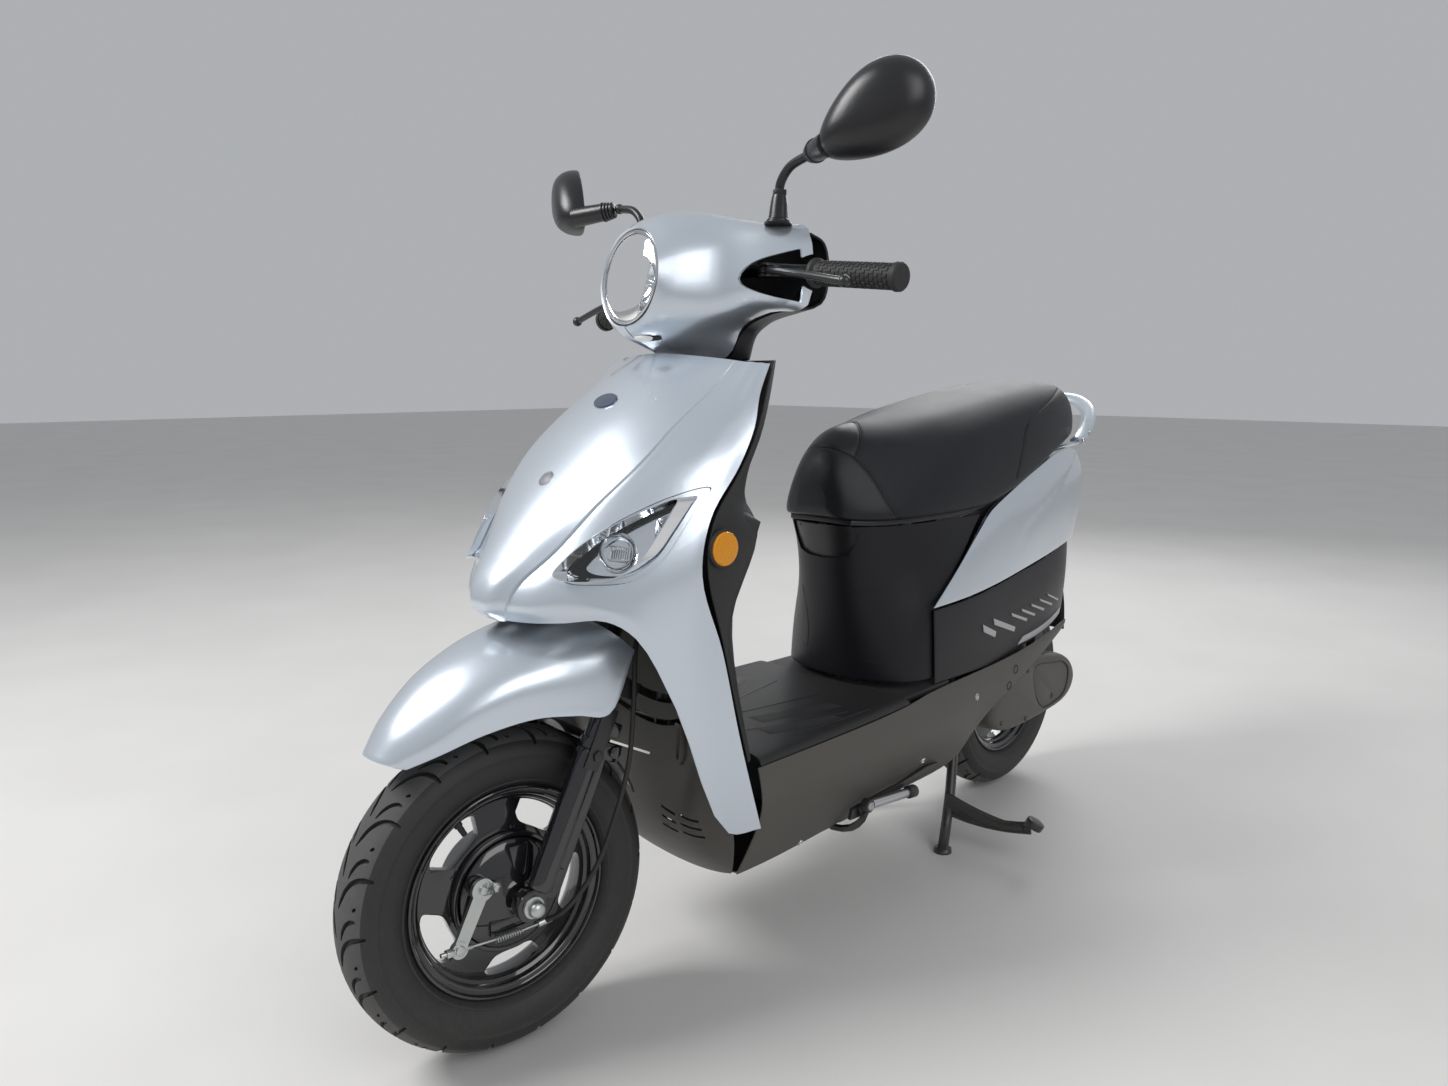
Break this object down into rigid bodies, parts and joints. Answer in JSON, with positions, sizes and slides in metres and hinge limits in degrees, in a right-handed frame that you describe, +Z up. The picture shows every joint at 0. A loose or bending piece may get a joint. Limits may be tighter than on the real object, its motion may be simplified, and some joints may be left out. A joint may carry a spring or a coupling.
{
  "type": "seated electric scooter",
  "caption": "Seated electric scooter with step-through floor, sprung telescopic fork, swinging drive unit, centre stand, folding pegs and lifting seat.",
  "frame": {"origin": "on the ground, half way between the wheel axles, in the plane of the frame", "axes": "-Y forward, +X to the rider's left, +Z up"},
  "size_m": [0.7991, 1.734, 1.2519],
  "materials": {
    "silver_panel": "silver-blue metallic lacquer over moulded plastic",
    "black_panel": "fine-grained black plastic",
    "grey_panel": "fine-grained dark grey plastic",
    "gloss_black": "gloss black powder coat",
    "black_steel": "satin black paint on steel tube",
    "tyre": "treaded tyre rubber",
    "rubber": "moulded grip rubber",
    "seat_vinyl": "black grained vinyl over foam",
    "zinc": "zinc-plated steel",
    "bright_steel": "polished steel",
    "cast_alloy": "grey-painted cast aluminium",
    "clear_lens": "clear moulded lens",
    "amber_lens": "amber moulded lens",
    "red_lens": "red moulded lens",
    "bright_foil": "bright metallised bowl",
    "battery_case": "moulded battery case"
  },
  "bodies": {
    "body": {"main_frame": "black_steel", "front_apron": "silver_panel", "leg_shield": "black_panel", "front_inner_cover": "grey_panel", "apron_lamp_left": "clear_lens", "apron_lamp_right": "clear_lens", "side_reflector_left": "amber_lens", "side_reflector_right": "amber_lens", "floorboard": "black_panel", "side_skirt_left": "grey_panel", "side_skirt_right": "grey_panel", "belly_pan": "grey_panel", "seat_base_cover": "black_panel", "side_cover_left": "silver_panel", "side_cover_right": "silver_panel", "tail_lower_cover": "black_panel", "grab_rail": "silver_panel", "tail_lamp": "red_lens", "rear_mudguard": "black_panel", "battery_pack": "battery_case"},
    "seat": {"seat_cushion": "seat_vinyl", "seat_pan": "black_panel"},
    "steering": {"steering_stem": "black_steel", "fork_stanchion_left": "bright_steel", "fork_stanchion_right": "bright_steel", "handlebar": "black_steel", "headlight_cowl": "silver_panel", "handlebar_cover": "black_panel", "headlight_lens": "clear_lens", "headlight_reflector": "bright_foil", "grip_left": "rubber", "mirror_stem_left": "black_panel", "mirror_stem_right": "black_panel"},
    "throttle": {"throttle_grip": "rubber"},
    "lever_left": {"brake_lever_left": "black_steel"},
    "lever_right": {"brake_lever_right": "black_steel"},
    "mirror_left": {"mirror_head_left": "black_panel"},
    "mirror_right": {"mirror_head_right": "black_panel"},
    "horn": {"horn_button": "black_panel"},
    "indicator_switch": {"turn_switch": "grey_panel"},
    "ignition": {"ignition_lock": "bright_steel"},
    "fork_lower": {"fork_slider_left": "gloss_black", "fork_slider_right": "gloss_black", "front_axle": "zinc", "brake_panel": "gloss_black", "front_fender": "silver_panel", "brake_cable": "rubber"},
    "cam_arm": {"brake_arm": "zinc"},
    "front_wheel": {"front_tyre": "tyre", "front_rim": "gloss_black"},
    "swing_unit": {"drive_case": "cast_alloy", "drive_cover": "grey_panel"},
    "rear_wheel": {"rear_tyre": "tyre", "rear_rim": "gloss_black"},
    "stand": {"centre_stand": "black_steel"},
    "peg_left": {"footpeg_left": "bright_steel"},
    "peg_right": {"footpeg_right": "bright_steel"},
    "shock_upper": {"shock_body": "black_steel", "shock_spring": "silver_panel"},
    "shock_lower": {"shock_rod": "bright_steel"}
  },
  "joints": [
    {"name": "steering_turn", "type": "hinge", "parent": "body", "child": "steering", "pos_m": [0, -0.41491, 0.57915], "axis": [0, 0.454, 0.891], "range_deg": [-34.2, 45.8]},
    {"name": "fork_travel", "type": "slide", "parent": "steering", "child": "fork_lower", "axis": [0, 0.454, 0.891], "range_m": [-0.025, 0.03], "stiffness_N_per_m": 8000, "springref_m": -0.026},
    {"name": "front_wheel_spin", "type": "hinge", "parent": "fork_lower", "child": "front_wheel", "pos_m": [-0.00216, -0.6249, 0.21395], "axis": [0.9949, -0.09, 0.0459], "continuous": true},
    {"name": "brake_arm_pull", "type": "hinge", "parent": "fork_lower", "child": "cam_arm", "pos_m": [-0.00804, -0.67564, 0.24182], "axis": [0.9949, -0.09, 0.0459], "range_deg": [0, 12]},
    {"name": "throttle_twist", "type": "hinge", "parent": "steering", "child": "throttle", "pos_m": [-0.07237, -0.21235, 1.02028], "axis": [-0.9667, 0.1745, -0.1873], "range_deg": [0, 75], "stiffness_Nm_per_rad": 0.3, "springref_deg": -22.92},
    {"name": "lever_left_pull", "type": "hinge", "parent": "steering", "child": "lever_left", "pos_m": [0.1278, -0.25503, 1.02045], "axis": [-0.0459, 0.0021, 0.9989], "range_deg": [0, 14], "stiffness_Nm_per_rad": 2, "springref_deg": -8.59},
    {"name": "lever_right_pull", "type": "hinge", "parent": "steering", "child": "lever_right", "pos_m": [-0.13683, -0.23108, 1.00825], "axis": [0.0459, -0.0021, -0.9989], "range_deg": [0, 14], "stiffness_Nm_per_rad": 2, "springref_deg": -8.59},
    {"name": "mirror_left_turn", "type": "hinge", "parent": "steering", "child": "mirror_left", "pos_m": [0.20477, -0.25499, 1.16068], "axis": [-0.0459, 0.0021, 0.9989], "range_deg": [-20, 20]},
    {"name": "mirror_right_turn", "type": "hinge", "parent": "steering", "child": "mirror_right", "pos_m": [-0.22502, -0.21609, 1.14086], "axis": [-0.0459, 0.0021, 0.9989], "range_deg": [-20, 20]},
    {"name": "horn_press", "type": "slide", "parent": "steering", "child": "horn", "axis": [-0.09, -0.9959, -0.0021], "range_m": [0, 0.003], "stiffness_N_per_m": 600, "springref_m": -0.002},
    {"name": "indicator_slide", "type": "slide", "parent": "steering", "child": "indicator_switch", "axis": [0.9949, -0.09, 0.0459], "range_m": [-0.002, 0.002]},
    {"name": "ignition_turn", "type": "hinge", "parent": "body", "child": "ignition", "pos_m": [-0.085, -0.225, 0.8], "axis": [-0.1871, 0.9356, 0.2994], "range_deg": [0, 90]},
    {"name": "seat_lift", "type": "hinge", "parent": "body", "child": "seat", "pos_m": [0, 0.012, 0.636], "axis": [1, 0, 0], "range_deg": [0, 65]},
    {"name": "swing_travel", "type": "hinge", "parent": "body", "child": "swing_unit", "pos_m": [0, 0.34, 0.236], "axis": [1, 0, 0], "range_deg": [0, 4], "stiffness_Nm_per_rad": 1900, "springref_deg": -3.44},
    {"name": "rear_wheel_spin", "type": "hinge", "parent": "swing_unit", "child": "rear_wheel", "pos_m": [0, 0.625, 0.22], "axis": [1, 0, 0], "continuous": true},
    {"name": "shock_tilt", "type": "hinge", "parent": "body", "child": "shock_upper", "pos_m": [0.079, 0.655, 0.575], "axis": [1, 0, 0], "range_deg": [-3.4, 0]},
    {"name": "shock_stroke", "type": "slide", "parent": "shock_upper", "child": "shock_lower", "axis": [0, 0, 1], "range_m": [0, 0.0214], "deforming": ["shock_spring"]},
    {"name": "stand_fold", "type": "hinge", "parent": "body", "child": "stand", "pos_m": [0, 0.352, 0.186], "axis": [1, 0, 0], "range_deg": [0, 85]},
    {"name": "peg_left_fold", "type": "hinge", "parent": "body", "child": "peg_left", "pos_m": [0.166, -0.042, 0.196], "axis": [0, 0, -1], "range_deg": [0, 90]},
    {"name": "peg_right_fold", "type": "hinge", "parent": "body", "child": "peg_right", "pos_m": [-0.166, -0.042, 0.196], "axis": [0, 0, 1], "range_deg": [0, 90]}
  ],
  "couplings": [
    {"joint": "brake_arm_pull", "follows": "lever_right_pull", "ratio": 0.85},
    {"joint": "shock_tilt", "follows": "swing_travel", "ratio": -0.8},
    {"joint": "shock_stroke", "follows": "swing_travel", "m_per_rad": 0.305}
  ]
}
